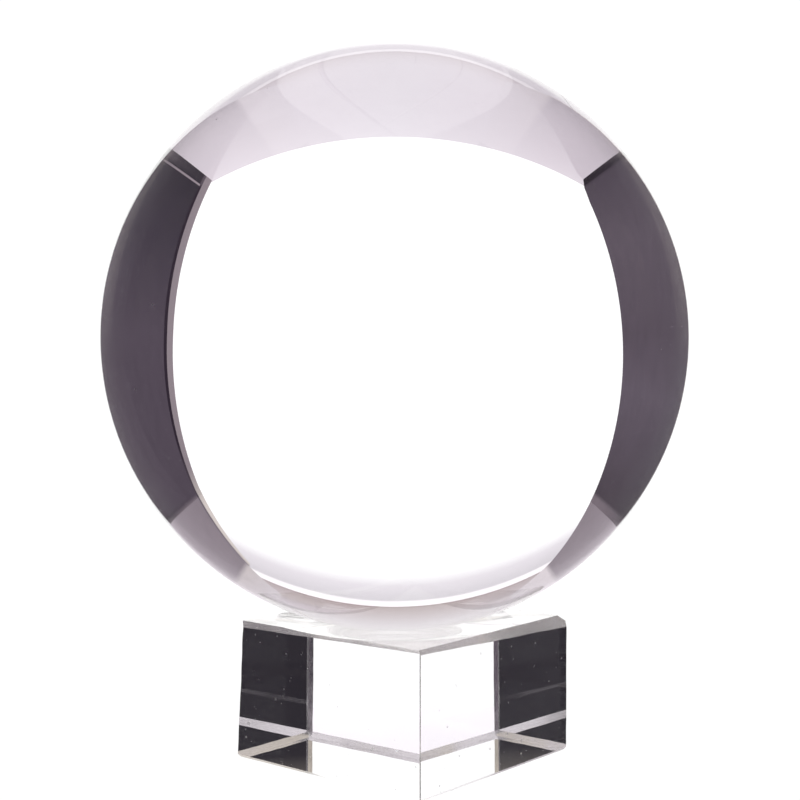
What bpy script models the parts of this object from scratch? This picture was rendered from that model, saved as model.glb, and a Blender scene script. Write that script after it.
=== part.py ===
"""Crystal ball on its square glass stand.

Two separate pieces of clear optical glass: a solid polished sphere, and a low square block whose
top is ground into a shallow spherical dish. The ball is held in the dish by its own weight alone
and lifts straight off. Units are metres, +Z is up, and the origin is on the surface that the stand
rests on, straight below the middle of the ball.
"""

import math

import bmesh
import bpy
from mathutils import Vector

# Driving dimensions
BALL_DIAMETER = 0.080
STAND_SIDE = 0.0327  # square in plan, over the flat faces
STAND_HEIGHT = 0.0186
CHAMFER = 0.0006  # 45 degree flat, ground along all twelve edges of the block
DISH_RIM_DIAMETER = 0.0328
DISH_DEPTH = 0.00145
DISH_OFF_CENTRE = Vector((0.00098, 0.00083))  # the block's middle, seen from the dish's middle
CONTACT_GAP = 0.0003  # between the ball and the bottom of the dish

# Fineness of the round surfaces
BALL_SEGMENTS = 64
BALL_RINGS = 32
DISH_SEGMENTS = 64
DISH_RINGS = 8
CUTTER_REACH = 0.003  # how far the dish's cutter stands above the block

# Worked out from the driving dimensions
BALL_RADIUS = BALL_DIAMETER / 2
DISH_RIM_RADIUS = DISH_RIM_DIAMETER / 2
DISH_CURVE_RADIUS = (DISH_RIM_RADIUS**2 + DISH_DEPTH**2) / (2 * DISH_DEPTH)
BALL_CENTRE_HEIGHT = STAND_HEIGHT - DISH_DEPTH + CONTACT_GAP + BALL_RADIUS


def clear_scene():
    for old in list(bpy.data.objects):
        bpy.data.objects.remove(old)


def glass(name, colour, roughness, ior):
    """Clear glass as a Principled BSDF."""
    material = bpy.data.materials.new(name)
    material.use_nodes = True
    shader = material.node_tree.nodes["Principled BSDF"]
    shader.inputs["Base Color"].default_value = (*colour, 1.0)
    shader.inputs["Roughness"].default_value = roughness
    shader.inputs["Metallic"].default_value = 0.0
    shader.inputs["IOR"].default_value = ior
    shader.inputs["Transmission Weight"].default_value = 1.0
    return material


def add_object(name, mesh_data, material=None, location=(0, 0, 0)):
    """Links a new object that holds the mesh, with its origin at location."""
    made = bpy.data.objects.new(name, mesh_data)
    made.location = location
    bpy.context.scene.collection.objects.link(made)
    if material:
        mesh_data.materials.append(material)
    return made


def to_mesh(name, bm):
    """The bmesh as a mesh whose faces point outwards."""
    bmesh.ops.recalc_face_normals(bm, faces=bm.faces)
    mesh_data = bpy.data.meshes.new(name)
    bm.to_mesh(mesh_data)
    bm.free()
    return mesh_data


def make_ball():
    """The solid sphere, with its poles on the vertical and its origin at its middle."""
    bm = bmesh.new()
    bmesh.ops.create_uvsphere(
        bm, u_segments=BALL_SEGMENTS, v_segments=BALL_RINGS, radius=BALL_RADIUS
    )
    mesh_data = to_mesh("crystal_ball", bm)
    mesh_data.shade_smooth()
    return add_object("crystal_ball", mesh_data, glass("ball_glass", (0.98, 0.98, 0.99), 0.0, 1.517))


def dish_height(radius):
    """Height of the dish's spherical surface above the block's top, at that radius."""
    return DISH_CURVE_RADIUS - DISH_DEPTH - math.sqrt(DISH_CURVE_RADIUS**2 - radius**2)


def make_dish_cutter():
    """The space that the grinding tool takes away: a round plug with a domed underside."""
    reach_radius = math.sqrt(DISH_CURVE_RADIUS**2 - (DISH_CURVE_RADIUS - DISH_DEPTH - CUTTER_REACH) ** 2)
    inner_radii = [DISH_RIM_RADIUS * ring / DISH_RINGS for ring in range(DISH_RINGS + 1)]
    profile = [Vector((radius, 0, dish_height(radius))) for radius in [*inner_radii, reach_radius]]
    profile.append(Vector((0, 0, CUTTER_REACH)))
    bm = bmesh.new()
    points = [bm.verts.new(point) for point in profile]
    edges = [bm.edges.new(pair) for pair in zip(points, points[1:])]
    bmesh.ops.spin(
        bm,
        geom=points + edges,
        cent=(0, 0, 0),
        axis=(0, 0, 1),
        angle=2 * math.pi,
        steps=DISH_SEGMENTS,
        use_merge=True,
    )
    bmesh.ops.remove_doubles(bm, verts=bm.verts, dist=1e-6)
    cutter = add_object("dish_cutter", to_mesh("dish_cutter", bm), location=(0, 0, STAND_HEIGHT))
    cutter.hide_render = True
    cutter.display_type = "WIRE"
    return cutter


def make_stand():
    """The square block, its edges chamfered flat, with the dish ground into its top."""
    bm = bmesh.new()
    bmesh.ops.create_cube(bm, size=1.0)
    bmesh.ops.scale(bm, verts=bm.verts, vec=(STAND_SIDE, STAND_SIDE, STAND_HEIGHT))
    bmesh.ops.bevel(
        bm,
        geom=list(bm.edges),
        offset=CHAMFER,
        offset_type="OFFSET",
        segments=1,
        affect="EDGES",
    )
    stand = add_object(
        "glass_stand",
        to_mesh("glass_stand", bm),
        glass("stand_glass", (0.97, 0.98, 0.98), 0.0, 1.72),
        (*DISH_OFF_CENTRE, STAND_HEIGHT / 2),
    )
    grinding = stand.modifiers.new("dish", "BOOLEAN")
    grinding.operation = "DIFFERENCE"
    grinding.solver = "EXACT"
    grinding.object = make_dish_cutter()
    return stand


def main():
    clear_scene()
    make_stand()
    ball = make_ball()
    lift_axis = bpy.data.objects.new("ball_lift_axis", None)
    lift_axis.location = (0, 0, BALL_CENTRE_HEIGHT)
    bpy.context.scene.collection.objects.link(lift_axis)
    ball.parent = lift_axis


main()
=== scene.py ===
import math

import bmesh
import bpy
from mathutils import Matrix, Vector


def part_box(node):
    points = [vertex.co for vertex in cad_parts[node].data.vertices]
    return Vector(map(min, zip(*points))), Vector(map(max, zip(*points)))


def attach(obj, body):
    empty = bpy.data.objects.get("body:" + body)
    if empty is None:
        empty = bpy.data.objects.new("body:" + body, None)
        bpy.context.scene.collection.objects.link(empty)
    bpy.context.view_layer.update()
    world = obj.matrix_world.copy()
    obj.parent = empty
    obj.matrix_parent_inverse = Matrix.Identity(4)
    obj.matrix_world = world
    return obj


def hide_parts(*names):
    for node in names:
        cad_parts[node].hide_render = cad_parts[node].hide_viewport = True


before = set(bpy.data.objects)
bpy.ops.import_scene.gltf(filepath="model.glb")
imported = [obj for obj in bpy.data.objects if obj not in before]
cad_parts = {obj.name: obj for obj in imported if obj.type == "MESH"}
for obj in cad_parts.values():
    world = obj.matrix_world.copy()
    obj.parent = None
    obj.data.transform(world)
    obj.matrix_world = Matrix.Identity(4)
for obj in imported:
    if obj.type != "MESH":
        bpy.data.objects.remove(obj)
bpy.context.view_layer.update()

MM = 0.001

# Places and sizes that come from the CAD frame
ball_low, ball_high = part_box("crystal_ball")
stand_low, stand_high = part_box("glass_stand")
BALL_CENTRE = (ball_low + ball_high) / 2
BALL_RADIUS = (ball_high.z - ball_low.z) / 2
STAND_CENTRE = (stand_low + stand_high) / 2
STAND_HALF = (stand_high - stand_low) / 2

# Camera: level, a little below the ball's middle, facing one corner of the stand
CAMERA_AZIMUTH = math.radians(40.33)
CAMERA_DISTANCE = 5.182 * BALL_RADIUS
CAMERA_DROP = 0.0518 * BALL_RADIUS
CAMERA_LENS = 67.5
CAMERA_SHIFT = (0.0069, -0.06)
CAMERA_CLIP = (0.01, 20.0)

# Glass
BALL_IOR = 1.517
STAND_IOR = 1.72  # dense flint, which sets where the block's far edges show through it
BALL_CUTS = 127  # along each edge of the cube that is blown up into the ball

# The dish that the ball rests in
DISH_RIM_RADIUS = 16.4 * MM
DISH_CLEARANCE = 0.02 * MM  # between the ball and the bottom of the dish
DISH_DEPTH = stand_high.z - ball_low.z + DISH_CLEARANCE
DISH_CURVE_RADIUS = (DISH_RIM_RADIUS**2 + DISH_DEPTH**2) / (2 * DISH_DEPTH)
DISH_SEGMENTS = 192
DISH_RINGS = 24
CUTTER_REACH = 2.0 * MM  # how far the dish's cutter stands above the block
CUTTER_MERGE = 1e-7

# Width of each hand-ground chamfer of the stand in mm, at the low and the high end of its edge.
# An edge is named by its two faces, each an axis with a sign.
X, Y, Z = 0, 1, 2
CHAMFER_WIDTHS = {
    (X, -1, Z, 1): (0.65, 0.60),
    (X, 1, Z, 1): (0.50, 1.45),
    (Y, -1, Z, 1): (0.75, 0.30),
    (Y, 1, Z, 1): (0.62, 0.75),
    (X, -1, Z, -1): (0.60, 0.62),
    (X, 1, Z, -1): (0.26, 0.50),
    (Y, -1, Z, -1): (0.45, 0.26),
    (Y, 1, Z, -1): (0.66, 0.64),
    (X, -1, Y, -1): (0.45, 1.50),
    (X, -1, Y, 1): (0.60, 0.66),
    (X, 1, Y, -1): (0.11, 0.10),
    (X, 1, Y, 1): (0.70, 0.62),
}
CHAMFER_STEPS = 40
CHAMFER_WOBBLE = 0.05  # of its width
WOBBLE_WAVES = ((0.6, 5.1, 1.7), (0.4, 13.7, 3.91))  # each: its share, pace and shift from edge to edge
MERGE_WITHIN = 0.001 * MM

# Marks in the glass
DUST_WIDTH, DUST_SHARE, FINE_DUST_SHARE = 0.32 * MM, 0.8, 0.5
SCRATCH_WIDTH, SCRATCH_LENGTH, SCRATCH_SPACING = 0.14 * MM, 5.0 * MM, 1.4 * MM
SCRATCH_TURNS = ((0.3, 0.9, 1.2), (1.1, -0.6, 2.6))
MARK_ROUGHNESS = 0.42
CHIP_WIDTH, CHIP_SPACING, CHIP_SHARE, CHIP_ROUGHNESS = 0.45 * MM, 2.5 * MM, 0.5, 0.25
GRIND_ROUGHNESS, GRAIN_ROUGHNESS = 0.12, 0.2  # all over, and what the grain adds to it
GRAIN_DEPTH, GRAIN_STRENGTH = 0.03 * MM, 0.25

# How fine the clouds of each noise are: their scale for places in metres
TINT_CLOUDS, EDGE_TINT_CLOUDS, GRAIN_CLOUDS = 90.0, 700.0, 3000.0
PANEL_CLOUDS, PAPER_CLOUDS = 60.0, 900.0


# ---------------------------------------------------------------- helpers


def add_object(name, mesh, *materials, parent=None, location=(0, 0, 0)):
    made = bpy.data.objects.new(name, mesh)
    made.location = location
    made.parent = parent
    bpy.context.scene.collection.objects.link(made)
    for material in materials:
        mesh.materials.append(material)
    return made


def bm_to_mesh(name, bm):
    mesh = bpy.data.meshes.new(name)
    bm.to_mesh(mesh)
    bm.free()
    return mesh


def srgb(*levels):
    """A screen colour, in levels of 0 to 255, as linear light."""
    shares = [level / 255 for level in levels]
    return [share / 12.92 if share < 0.04 else ((share + 0.055) / 1.055) ** 2.4 for share in shares]


class Nodes:
    """Short forms for building one material's node tree."""

    def __init__(self, name):
        self.material = bpy.data.materials.new(name)
        self.material.use_nodes = True
        self.tree = self.material.node_tree
        self.tree.nodes.clear()
        self.output = self.add("ShaderNodeOutputMaterial")

    def add(self, kind, inputs=None, **settings):
        node = self.tree.nodes.new(kind)
        for name, value in settings.items():
            setattr(node, name, value)
        for name, value in (inputs or {}).items():
            self.feed(node.inputs[name], value)
        return node

    def feed(self, socket, value):
        if isinstance(value, bpy.types.NodeSocket):
            self.tree.links.new(value, socket)
        elif socket.type == "RGBA" and len(value) == 3:
            socket.default_value = (*value, 1.0)
        else:
            socket.default_value = value

    def math(self, operation, first, second=0.0, third=0.0):
        node = self.add("ShaderNodeMath", {0: first, 1: second, 2: third}, operation=operation)
        return node.outputs[0]

    def mix(self, share, first, second):
        """The first shader where the share is 0, and the second where it is 1."""
        return self.add("ShaderNodeMixShader", {0: share, 1: first, 2: second}).outputs[0]

    def ramp(self, factor, stops):
        node = self.add("ShaderNodeValToRGB", {"Fac": factor})
        elements = node.color_ramp.elements
        while len(elements) < len(stops):
            elements.new(1.0)
        for element, (position, colour) in zip(elements, stops):
            element.position = position
            element.color = (*colour, 1.0)
        return node.outputs["Color"]

    def place(self):
        """Where a point lies on its own object."""
        return self.add("ShaderNodeTexCoord").outputs["Object"]

    def finish(self, surface):
        self.feed(self.output.inputs["Surface"], surface)
        return self.material


# ---------------------------------------------------------------- materials


def specks(n, place, width, spacing, share):
    """1 on round specks of this width, one in each cell of this spacing in a share of the cells."""
    cells = n.add("ShaderNodeTexVoronoi", {"Vector": place, "Scale": 1 / spacing}).outputs
    chance = n.add("ShaderNodeSeparateColor", {0: cells["Color"]}).outputs["Red"]
    near = n.math("LESS_THAN", cells["Distance"], width / spacing / 2)
    return n.math("MULTIPLY", near, n.math("LESS_THAN", chance, share))


def hairlines(n, place, turn, share):
    """Specks drawn out into fine scratches that all run one way."""
    stretch = (SCRATCH_LENGTH / SCRATCH_WIDTH, 1, 1)
    inputs = {"Vector": place, "Rotation": turn, "Scale": stretch}
    drawn_out = n.add("ShaderNodeMapping", inputs, vector_type="TEXTURE").outputs[0]
    return specks(n, drawn_out, SCRATCH_WIDTH, SCRATCH_SPACING, share)


def clouds(n, place, scale, detail=3.0):
    return n.add("ShaderNodeTexNoise", {"Vector": place, "Scale": scale, "Detail": detail}).outputs["Fac"]


def glass(n, ior, tint, roughness, **more):
    """Finishes a material as glass with this tint and roughness."""
    inputs = {"Base Color": tint, "Roughness": roughness, "IOR": ior, "Transmission Weight": 1.0, **more}
    return n.finish(n.add("ShaderNodeBsdfPrincipled", inputs).outputs[0])


def polished_glass(name, ior, speck_spacing, scratch_share):
    """Clear polished glass with a little dust and a few hairline scratches, which scatter the light."""
    n = Nodes(name)
    place = n.place()
    dust = specks(n, place, DUST_WIDTH, speck_spacing, DUST_SHARE)
    fine_dust = specks(n, place, DUST_WIDTH / 2, speck_spacing / 2, FINE_DUST_SHARE)
    marks = n.math("MAXIMUM", dust, fine_dust)
    for turn in SCRATCH_TURNS:
        marks = n.math("MAXIMUM", marks, hairlines(n, place, turn, scratch_share))
    tints = [(0.35, (1.0, 1.0, 1.0)), (0.65, (0.985, 0.985, 0.992))]
    tint = n.ramp(clouds(n, place, TINT_CLOUDS), tints)
    return glass(n, ior, tint, n.math("MULTIPLY", marks, MARK_ROUGHNESS))


def ground_glass(name, ior):
    """Glass as the grinding wheel leaves it: half frosted, with fine grain and small rougher chips."""
    n = Nodes(name)
    place = n.place()
    grain = clouds(n, place, GRAIN_CLOUDS)
    chips = specks(n, place, CHIP_WIDTH, CHIP_SPACING, CHIP_SHARE)
    tints = [(0.35, (1.0, 0.99, 0.965)), (0.65, (0.975, 0.96, 0.93))]
    tint = n.ramp(clouds(n, place, EDGE_TINT_CLOUDS), tints)
    ground = n.math("MULTIPLY_ADD", grain, GRAIN_ROUGHNESS, GRIND_ROUGHNESS)
    rough = n.math("ADD", ground, n.math("MULTIPLY", chips, CHIP_ROUGHNESS))
    relief = {"Strength": GRAIN_STRENGTH, "Distance": GRAIN_DEPTH, "Height": grain}
    return glass(n, ior, tint, rough, Normal=n.add("ShaderNodeBump", relief).outputs[0])


# ---------------------------------------------------------------- crystal ball


def make_ball():
    """A cube blown up into a sphere, so that its quads are even and its surface is exact."""
    bm = bmesh.new()
    bmesh.ops.create_cube(bm, size=2.0)
    bmesh.ops.subdivide_edges(bm, edges=bm.edges[:], cuts=BALL_CUTS, use_grid_fill=True)
    for vertex in bm.verts:
        even_place = Vector([math.tan(part * math.pi / 4) for part in vertex.co])
        vertex.co = even_place.normalized() * BALL_RADIUS
    mesh = bm_to_mesh("crystal_ball_glass", bm)
    mesh.shade_smooth()
    mesh.normals_split_custom_set_from_vertices([vertex.co.normalized() for vertex in mesh.vertices])
    clear = polished_glass("ball_glass", BALL_IOR, speck_spacing=6.0 * MM, scratch_share=0.03)
    ball = add_object("crystal_ball_glass", mesh, clear, location=BALL_CENTRE)
    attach(ball, "ball")
    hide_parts("crystal_ball")


# ---------------------------------------------------------------- glass stand


def chamfer_width(edge, along):
    """Width of one chamfer at a place along its edge, from -1 at its low end to 1 at its high end."""
    low, high = CHAMFER_WIDTHS[edge]
    number = list(CHAMFER_WIDTHS).index(edge)
    wobble = sum(share * math.sin(pace * along + shift * number) for share, pace, shift in WOBBLE_WAVES)
    return (low + (high - low) * (along + 1) / 2) * (1 + CHAMFER_WOBBLE * wobble) * MM


def edge_between(first, second):
    """The name of the edge between two faces, whichever comes first."""
    return (*first, *second) if first < second else (*second, *first)


def point_on_face(face, side, along):
    """A point of the chamfer between two faces, on the first of them: along runs from corner to corner."""
    (axis, sign), (side_axis, side_sign) = face, side
    run_axis = 3 - axis - side_axis
    point = Vector()
    point[axis] = sign * STAND_HALF[axis]
    point[side_axis] = side_sign * (STAND_HALF[side_axis] - chamfer_width(edge_between(face, side), along))
    ends = [
        end * (STAND_HALF[run_axis] - chamfer_width(edge_between(face, (run_axis, end)), side_sign))
        for end in (-1, 1)
    ]
    point[run_axis] = ends[0] + (ends[1] - ends[0]) * (along + 1) / 2
    return point


def make_block():
    """The square block about its own centre, with its twelve ground chamfers as strips of narrow quads."""
    bm = bmesh.new()
    found = {}

    def vertex(face, side, along):
        point = point_on_face(face, side, along)
        key = tuple(round(part / MERGE_WITHIN) for part in point)
        if key not in found:
            found[key] = bm.verts.new(point)
        return found[key]

    places = [2 * step / CHAMFER_STEPS - 1 for step in range(CHAMFER_STEPS + 1)]
    for axis in (X, Y, Z):
        u, v = [other for other in (X, Y, Z) if other != axis]
        for sign in (-1, 1):
            loop = []
            # the sides in order round the face: each runs on from the last one's end
            for side, onwards in (((v, -1), True), ((u, 1), True), ((v, 1), False), ((u, -1), False)):
                steps = places if onwards else places[::-1]
                loop += [vertex((axis, sign), side, along) for along in steps]
            bm.faces.new([point for i, point in enumerate(loop) if point is not loop[i - 1]])
    for first_axis, first_sign, second_axis, second_sign in CHAMFER_WIDTHS:
        first, second = (first_axis, first_sign), (second_axis, second_sign)
        for low, high in zip(places, places[1:]):
            ring = [(first, second, along) for along in (low, high)]
            ring += [(second, first, along) for along in (high, low)]
            bm.faces.new([vertex(*place) for place in ring])
    corners = [((X, sx), (Y, sy), (Z, sz)) for sx in (-1, 1) for sy in (-1, 1) for sz in (-1, 1)]
    for a, b, c in corners:
        ring = ((a, b, c[1]), (b, c, a[1]), (c, a, b[1]))
        bm.faces.new([vertex(*place) for place in ring])
    bmesh.ops.recalc_face_normals(bm, faces=bm.faces)
    return bm_to_mesh("glass_stand_block", bm)


def make_dish_cutter():
    """A round plug whose underside is the dish, with its origin at the dish's centre on the block's top."""
    lift = DISH_CURVE_RADIUS - DISH_DEPTH
    reach_radius = math.sqrt(DISH_CURVE_RADIUS**2 - (lift - CUTTER_REACH) ** 2)
    steps = [reach_radius * ring / DISH_RINGS for ring in range(DISH_RINGS + 1)]
    profile = [Vector((r, 0, lift - math.sqrt(DISH_CURVE_RADIUS**2 - r**2))) for r in steps]
    profile.append(Vector((0, 0, CUTTER_REACH)))
    bm = bmesh.new()
    points = [bm.verts.new(point) for point in profile]
    edges = [bm.edges.new(pair) for pair in zip(points, points[1:])]
    bmesh.ops.spin(
        bm, geom=points + edges, axis=(0, 0, 1), cent=(0, 0, 0), angle=2 * math.pi,
        steps=DISH_SEGMENTS, use_merge=True,
    )
    bmesh.ops.remove_doubles(bm, verts=bm.verts, dist=CUTTER_MERGE)
    bmesh.ops.recalc_face_normals(bm, faces=bm.faces)
    return add_object("dish_cutter", bm_to_mesh("dish_cutter", bm), location=(0, 0, stand_high.z))


def cut(target, cutter):
    """Takes the cutter's shape out of the target for good."""
    boolean = target.modifiers.new("dish", "BOOLEAN")
    boolean.operation = "DIFFERENCE"
    boolean.solver = "EXACT"
    boolean.object = cutter
    bpy.context.view_layer.update()
    evaluated = target.evaluated_get(bpy.context.evaluated_depsgraph_get())
    result = bpy.data.meshes.new_from_object(evaluated)
    target.modifiers.clear()
    target.data = result
    bpy.data.objects.remove(cutter)


def finish_stand_faces(mesh, dish_centre):
    """Exact normals for the dish, flat ones elsewhere, and the ground finish on every sloping face."""
    near_curve = 0.02 * MM
    same_way, level = 0.999, 0.9999  # cosines of the angles that still count
    normals = []
    for polygon in mesh.polygons:
        out = polygon.normal
        inwards = dish_centre - polygon.center
        on_curve = abs(inwards.length - DISH_CURVE_RADIUS) < near_curve
        in_dish = on_curve and out.dot(inwards.normalized()) > same_way
        flat = max(abs(part) for part in out) > level
        polygon.material_index = 0 if in_dish or flat else 1
        polygon.use_smooth = True
        for index in polygon.vertices:
            exact = (dish_centre - mesh.vertices[index].co).normalized()
            normals.append(exact if in_dish else out.copy())
    mesh.normals_split_custom_set(normals)


def make_stand():
    stand = add_object("glass_stand_block", make_block(), location=STAND_CENTRE)
    cut(stand, make_dish_cutter())
    stand.data.materials.clear()
    stand.data.materials.append(polished_glass("stand_glass", STAND_IOR, 3.0 * MM, scratch_share=0.02))
    stand.data.materials.append(ground_glass("stand_ground_edges", STAND_IOR))
    dish_centre = Vector((0, 0, stand_high.z - DISH_DEPTH + DISH_CURVE_RADIUS)) - STAND_CENTRE
    finish_stand_faces(stand.data, dish_centre)
    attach(stand, "stand")
    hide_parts("glass_stand")


# ---------------------------------------------------------------- light of the tent

# The tent's planes, in ball radii from the ball's centre: X to the right, Y away from the camera, Z up
TENT_LEFT, TENT_RIGHT, TENT_BACK = -4.05, 3.95, 8.86
TENT_FLOOR, TENT_TOP = -3.3, 9.1
TENT_WIDE = 10.0  # half the width of the back, floor and top, and how far off the front stands
GAP_HALF, GAP_FOOT = 1.6, -1.4  # the gap between two corner cards, and how high it starts

# Where the shades of a side card end and begin, going up
DARK_TOP, GREY_FOOT, GREY_TOP, PALE_FOOT = 3.2, 3.3, 6.0, 6.3

# Light given as it is, not as a screen colour
PALE_ROUND = (1.12, 1.09, 1.12)  # what the glass shows beyond the tent's gaps and near side
WORLD_DIM = (0.14, 0.13, 0.14)
NEAR_DIM = (0.11, 0.10, 0.11)
NEAR_FLOOR_DIM = (0.10, 0.09, 0.10)
BACK_WHITE = (1.25, 1.25, 1.25)
LAMP_BAND = (1.3, 1.25, 1.28)
FLOOR_WHITE = (1.05, 1.05, 1.05)
PAPER_STRENGTH = 1.05

# A ray that goes into one piece of glass and out of it is 2 deep. A ray that is reflected inside the
# glass, or goes through both pieces, is deeper.
DEPTH_LIMIT = 2.5
CARD_MOTTLE, PLAIN_MOTTLE = 0.12, 0.02
FLOOR_GLOSS = (6.4, 2.6, 0.035)  # power and strength at a grazing view, and the least anywhere
FLOOR_ROUGHNESS = 0.1

PALE, GREY = srgb(230, 222, 228), srgb(128, 116, 125)


def steady(colour, start, end):
    """The stops of one colour from start to end."""
    return [(start, colour), (end, colour)]


def even(colour):
    """The stops of one colour all over."""
    return steady(colour, TENT_FLOOR, TENT_TOP)


def card_stops(lower, pale_foot):
    """The shades of a side card: its own ones low down, then grey, and pale above."""
    return [*lower, *steady(GREY, GREY_FOOT, GREY_TOP), (PALE_FOOT, pale_foot), (TENT_TOP, PALE)]


DARK = srgb(84, 74, 86)
CARD_STOPS = card_stops(
    [(TENT_FLOOR, srgb(46, 41, 49)), (-1.6, srgb(64, 57, 68)), *steady(DARK, 0.0, DARK_TOP)],
    srgb(210, 200, 200),
)
LEFT_STOPS = card_stops(
    [
        *steady(srgb(34, 28, 36), TENT_FLOOR, -3.16), (-3.1, srgb(80, 71, 82)), (-1.6, srgb(98, 88, 99)),
        (0.0, srgb(90, 80, 91)), (1.0, srgb(102, 92, 104)), (DARK_TOP, srgb(80, 71, 80)),
    ],
    srgb(236, 226, 230),
)
# what reflections inside the block show of the cards: dark low down, and the lamps' light high up
REFLECTED_STOPS = steady(srgb(38, 35, 41), TENT_FLOOR, -0.3) + steady(srgb(208, 198, 188), 0.6, TENT_TOP)
# the right card's frame, with a black line and a paler rail
LINE_FADED = srgb(90, 80, 90)
LINE_STOPS = [
    *steady(LINE_FADED, TENT_FLOOR, -3.05), *steady(srgb(44, 34, 46), -2.95, 2.0),
    (3.5, LINE_FADED), (TENT_TOP, GREY),
]
RAIL_STOPS = steady(srgb(150, 138, 145), TENT_FLOOR, 2.6) + steady(srgb(218, 208, 202), 3.6, TENT_TOP)
BACK_STOPS = [
    *steady(BACK_WHITE, TENT_FLOOR, 5.2), (6.2, (0.91, 0.865, 0.915)), (7.8, (0.78, 0.745, 0.79)),
    *steady(LAMP_BAND, 8.1, 8.88), (8.92, srgb(168, 150, 150)), (TENT_TOP, srgb(176, 158, 158)),
]
# the tent floor's light across, with painted shade of the side cards: darker towards both sides, and a
# little more towards the left
FLOOR_STOPS_ACROSS = [
    (-TENT_WIDE, srgb(208, 198, 208)), (-3.0, srgb(219, 208, 218)), (0.0, srgb(225, 218, 226)),
    (3.0, srgb(230, 220, 229)), (TENT_WIDE, srgb(214, 204, 214)),
]
TOP_STOPS_BACKWARDS = [
    (-TENT_WIDE, PALE), (5.0, srgb(236, 228, 235)), (7.0, srgb(214, 202, 206)),
    (TENT_BACK, srgb(192, 176, 176)),
]


def graded_light(n, stops, axis, mottle):
    """Light given off, its colour graded along one axis of the object, by stops in ball radii."""
    place = n.place()
    part = n.add("ShaderNodeSeparateXYZ", {0: place}).outputs[axis]
    start, end = stops[0][0], stops[-1][0]
    span = {"Value": part, "From Min": start * BALL_RADIUS, "From Max": end * BALL_RADIUS}
    spread = n.add("ShaderNodeMapRange", span).outputs["Result"]
    brightest = max(max(colour) for _, colour in stops)
    shades = [((at - start) / (end - start), [c / brightest for c in colour]) for at, colour in stops]
    cloud = clouds(n, place, PANEL_CLOUDS, detail=4.0)
    strength = n.math("MULTIPLY_ADD", cloud, 2 * mottle * brightest, (1 - mottle) * brightest)
    return n.add("ShaderNodeEmission", {"Color": n.ramp(spread, shades), "Strength": strength}).outputs[0]


def straight_through(n):
    """1 for light seen straight through one piece of glass, 0 for other light."""
    path = n.add("ShaderNodeLightPath").outputs
    shallow = n.math("LESS_THAN", path["Ray Depth"], DEPTH_LIMIT)
    return n.math("MULTIPLY", path["Is Transmission Ray"], shallow)


def reflected_inside(n):
    """1 for light that was reflected inside the glass or went through both pieces, 0 for other light."""
    depth = n.add("ShaderNodeLightPath").outputs["Ray Depth"]
    return n.math("GREATER_THAN", depth, DEPTH_LIMIT)


def floor_gloss(n):
    """A soft mirror that grows towards a grazing view."""
    power, strength, least = FLOOR_GLOSS
    facing = n.add("ShaderNodeLayerWeight", {"Blend": 0.5}).outputs["Facing"]
    grazing = n.math("MULTIPLY_ADD", n.math("POWER", facing, power), strength, least)
    sheen = n.add("ShaderNodeBsdfGlossy", {"Roughness": FLOOR_ROUGHNESS}).outputs[0]
    return n.add("ShaderNodeMixShader", {0: grazing, 2: sheen}).outputs[0]


def glow(name, stops, axis="Z", mottle=0.0, straight=None, inside=None, gloss=False):
    """A panel's light. The straight stops take its place where it is seen straight through the glass,
    and the inside stops where it is seen after a reflection inside the glass.
    """
    n = Nodes(name)
    light = graded_light(n, stops, axis, mottle)
    if inside:
        light = n.mix(reflected_inside(n), light, graded_light(n, inside, axis, mottle))
    if straight:
        light = n.mix(straight_through(n), light, graded_light(n, straight, axis, mottle))
    if gloss:
        light = n.add("ShaderNodeAddShader", {0: light, 1: floor_gloss(n)}).outputs[0]
    return n.finish(light)


# ---------------------------------------------------------------- panels of the tent

# Far edges of the two side cards, from the floor to the top, as places (Y, Z)
LEFT_CARD_EDGE = [
    (8.3, TENT_FLOOR), (8.55, -3.1), (8.6, -2.7), (8.0, 0.0), (7.25, 3.4), (6.8, 5.8), (6.9, TENT_TOP),
]
FRAME_HEIGHTS = (TENT_FLOOR, 0.0, 3.1, 6.3)
RIGHT_CARD_EDGE = list(zip((7.85, 7.64, 7.2, 7.4), FRAME_HEIGHTS))
LINE_EDGE = list(zip((8.08, 7.88, 7.35, 7.5), FRAME_HEIGHTS))
RAIL_EDGE = list(zip((8.72, 8.34, 7.75, 7.75), FRAME_HEIGHTS))
SEAM_LOW, SEAM_HIGH = -3.02, -2.97
SEAM_PROUD = 0.01  # how far the seam lies inside the card
NEAR_CARD_FOOT, NEAR_CARD_HEAD = -8.2, -7.4


def panel(name, corners, material, tent):
    """One flat panel of the tent, not seen directly by the camera."""
    bm = bmesh.new()
    bm.faces.new([bm.verts.new(Vector(corner) * BALL_RADIUS) for corner in corners])
    made = add_object(name, bm_to_mesh(name, bm), material, parent=tent)
    made.visible_camera = False
    return made


def side_panel(name, x, outline, material, tent):
    return panel(name, [(x, y, z) for y, z in outline], material, tent)


def level_panel(name, near, far, z, material, tent):
    outline = [(-TENT_WIDE, near), (TENT_WIDE, near), (TENT_WIDE, far), (-TENT_WIDE, far)]
    panel(name, [(x, y, z) for x, y in outline], material, tent)


def end_panel(name, y, material, tent):
    outline = oblong(-TENT_WIDE, TENT_WIDE, TENT_FLOOR, TENT_TOP)
    panel(name, [(x, y, z) for x, z in outline], material, tent)


def oblong(start, end, low, high):
    return [(start, low), (end, low), (end, high), (start, high)]


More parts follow.
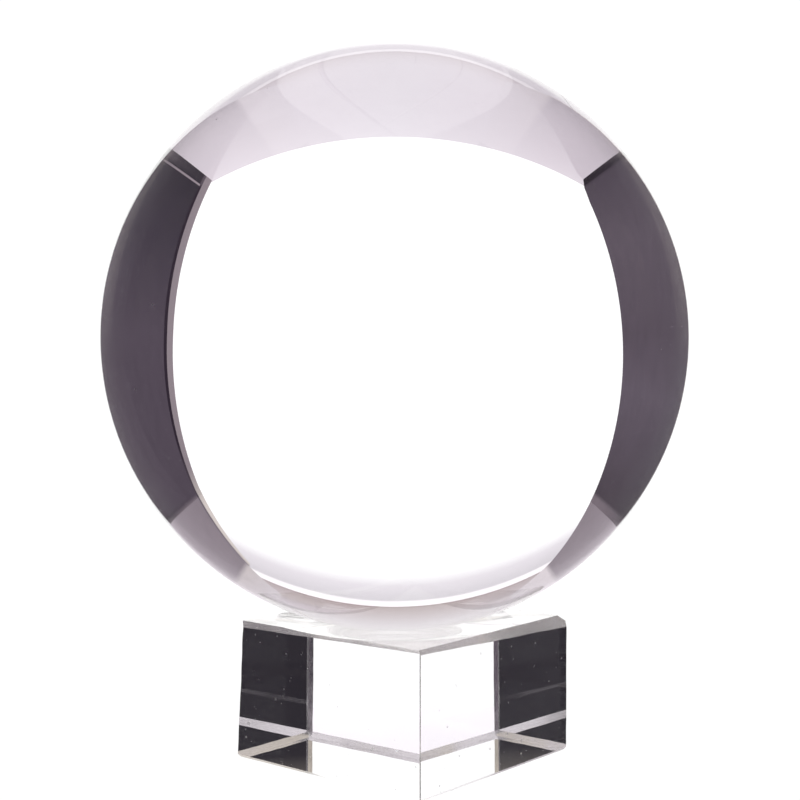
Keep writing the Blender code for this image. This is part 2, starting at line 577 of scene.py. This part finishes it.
def make_far_cards(cards, tent):
    """The dark cards at the two far corners, and the frame along the right one."""
    left_cards = glow("tent_left_cards", LEFT_STOPS, mottle=CARD_MOTTLE, inside=REFLECTED_STOPS)
    foot, head = (GAP_HALF, TENT_FLOOR), (GAP_HALF, TENT_TOP)
    side_panel("tent_left_card", TENT_LEFT, [foot, *LEFT_CARD_EDGE, head], left_cards, tent)
    right_head = (RIGHT_CARD_EDGE[-1][0], TENT_TOP)
    side_panel("tent_right_card", TENT_RIGHT, [foot, *RIGHT_CARD_EDGE, right_head, head], cards, tent)
    for name, near_edge, far_edge, stops in (
        ("tent_line", RIGHT_CARD_EDGE, LINE_EDGE, LINE_STOPS),
        ("tent_rail", LINE_EDGE, RAIL_EDGE, RAIL_STOPS),
    ):
        side_panel(name, TENT_RIGHT, near_edge + far_edge[::-1], glow(name, stops), tent)
    seam_outline = oblong(GAP_HALF, RIGHT_CARD_EDGE[0][0], SEAM_LOW, SEAM_HIGH)
    seam_light = glow("tent_seam", even(srgb(160, 147, 155)))
    seam = side_panel("tent_seam", TENT_RIGHT - SEAM_PROUD, seam_outline, seam_light, tent)
    seam.visible_glossy = False


def make_near_sides(cards, tent):
    """On each side the gap between the cards, the card below it and the card at the near corner."""
    gaps = glow(
        "tent_gaps", CARD_STOPS, mottle=CARD_MOTTLE, inside=REFLECTED_STOPS, straight=even(PALE_ROUND)
    )
    near_cards = glow("tent_near_cards", even(NEAR_DIM), mottle=CARD_MOTTLE, straight=CARD_STOPS)
    near_outline = [
        (NEAR_CARD_FOOT, TENT_FLOOR), (-GAP_HALF, TENT_FLOOR), (-GAP_HALF, TENT_TOP),
        (NEAR_CARD_HEAD, TENT_TOP),
    ]
    for x in (TENT_LEFT, TENT_RIGHT):
        side_panel("tent_low_card", x, oblong(-GAP_HALF, GAP_HALF, TENT_FLOOR, GAP_FOOT), cards, tent)
        side_panel("tent_gap", x, oblong(-GAP_HALF, GAP_HALF, GAP_FOOT, TENT_TOP), gaps, tent)
        side_panel("tent_near_card", x, near_outline, near_cards, tent)


def make_tent():
    """A light tent: white back, pale floor and top, and dark cards at its four corners."""
    tent = add_object("tent", None, location=BALL_CENTRE)
    tent.rotation_euler.z = CAMERA_AZIMUTH
    cards = glow("tent_cards", CARD_STOPS, mottle=CARD_MOTTLE, inside=REFLECTED_STOPS)
    make_far_cards(cards, tent)
    make_near_sides(cards, tent)
    end_panel("tent_back", TENT_BACK, glow("tent_back", BACK_STOPS), tent)
    front = glow("tent_front", even(WORLD_DIM), straight=even(PALE_ROUND))
    end_panel("tent_front", -TENT_WIDE, front, tent)
    floor = glow("tent_floor", FLOOR_STOPS_ACROSS, "X", PLAIN_MOTTLE, gloss=True)
    near_floor = glow("tent_near_floor", even(NEAR_FLOOR_DIM), straight=even(srgb(228, 221, 229)))
    top = glow("tent_top", TOP_STOPS_BACKWARDS, "Y", PLAIN_MOTTLE)
    level_panel("tent_floor", -GAP_HALF, TENT_BACK, TENT_FLOOR, floor, tent)
    level_panel("tent_near_floor", -TENT_WIDE, -GAP_HALF, TENT_FLOOR, near_floor, tent)
    level_panel("tent_top", -TENT_WIDE, TENT_BACK, TENT_TOP, top, tent)


# ---------------------------------------------------------------- floor, world, camera

FLOOR_REACH = 3.0  # metres from the middle to each side
PAPER_MARGIN = 0.5 * MM  # how far the paper reaches past the block
PAPER_DROP = 0.1 * MM  # how far it lies below the block's underside
MOST_BOUNCES, MOST_REFLECTIONS = 32, 24  # of one ray, enough for the long ways through the glass


def glowing(n, **light):
    """Finishes a material as one that only gives off light."""
    return n.finish(n.add("ShaderNodeEmission", light).outputs[0])


def make_sheet(name, half_side, height, material):
    """A level square sheet in the middle of the stage."""
    bm = bmesh.new()
    bmesh.ops.create_grid(bm, x_segments=1, y_segments=1, size=half_side)
    return add_object(name, bm_to_mesh(name, bm), material, location=(0, 0, height))


def make_floor():
    """The pale floor under the stand. The glass shows the tent's own floor, which lies lower."""
    floor = make_sheet("floor", FLOOR_REACH, 0, glowing(Nodes("floor_paper"), Color=FLOOR_WHITE))
    floor.visible_diffuse = False
    floor.visible_glossy = False
    floor.visible_transmission = False
    floor.visible_shadow = False


def make_paper():
    """The white paper that the block stands on, as the block's underside shows it."""
    n = Nodes("paper")
    tints = [(0.3, (1.0, 0.985, 0.965)), (0.7, (0.97, 0.955, 0.94))]
    white = n.ramp(clouds(n, n.place(), PAPER_CLOUDS), tints)
    light = glowing(n, Color=white, Strength=PAPER_STRENGTH)
    paper = make_sheet("paper", STAND_HALF.x + PAPER_MARGIN, -PAPER_DROP, light)
    paper.visible_camera = False


def make_world():
    """White to the camera, and dim to the glass, which the tent surrounds."""
    world = bpy.data.worlds.new("studio")
    world.use_nodes = True
    tree = world.node_tree
    tree.nodes.clear()
    path, mix, output = [
        tree.nodes.new(kind)
        for kind in ("ShaderNodeLightPath", "ShaderNodeMixShader", "ShaderNodeOutputWorld")
    ]
    for socket, colour in ((1, WORLD_DIM), (2, FLOOR_WHITE)):
        light = tree.nodes.new("ShaderNodeBackground")
        light.inputs["Color"].default_value = (*colour, 1.0)
        tree.links.new(light.outputs[0], mix.inputs[socket])
    tree.links.new(path.outputs["Is Camera Ray"], mix.inputs[0])
    tree.links.new(mix.outputs[0], output.inputs["Surface"])
    bpy.context.scene.world = world


def make_camera():
    data = bpy.data.cameras.new("camera")
    data.lens = CAMERA_LENS
    data.shift_x, data.shift_y = CAMERA_SHIFT
    data.clip_start, data.clip_end = CAMERA_CLIP
    back = Vector((math.sin(CAMERA_AZIMUTH), -math.cos(CAMERA_AZIMUTH), 0))
    place = BALL_CENTRE + back * CAMERA_DISTANCE - Vector((0, 0, CAMERA_DROP))
    camera = add_object("camera", data, location=place)
    camera.rotation_euler = (math.pi / 2, 0, CAMERA_AZIMUTH)
    bpy.context.scene.camera = camera


make_ball()
make_stand()
make_tent()
make_floor()
make_paper()
make_world()
make_camera()

scene = bpy.context.scene
scene.view_settings.view_transform = "Standard"
scene.cycles.max_bounces = MOST_BOUNCES
scene.cycles.glossy_bounces = MOST_REFLECTIONS
scene.cycles.transmission_bounces = MOST_BOUNCES
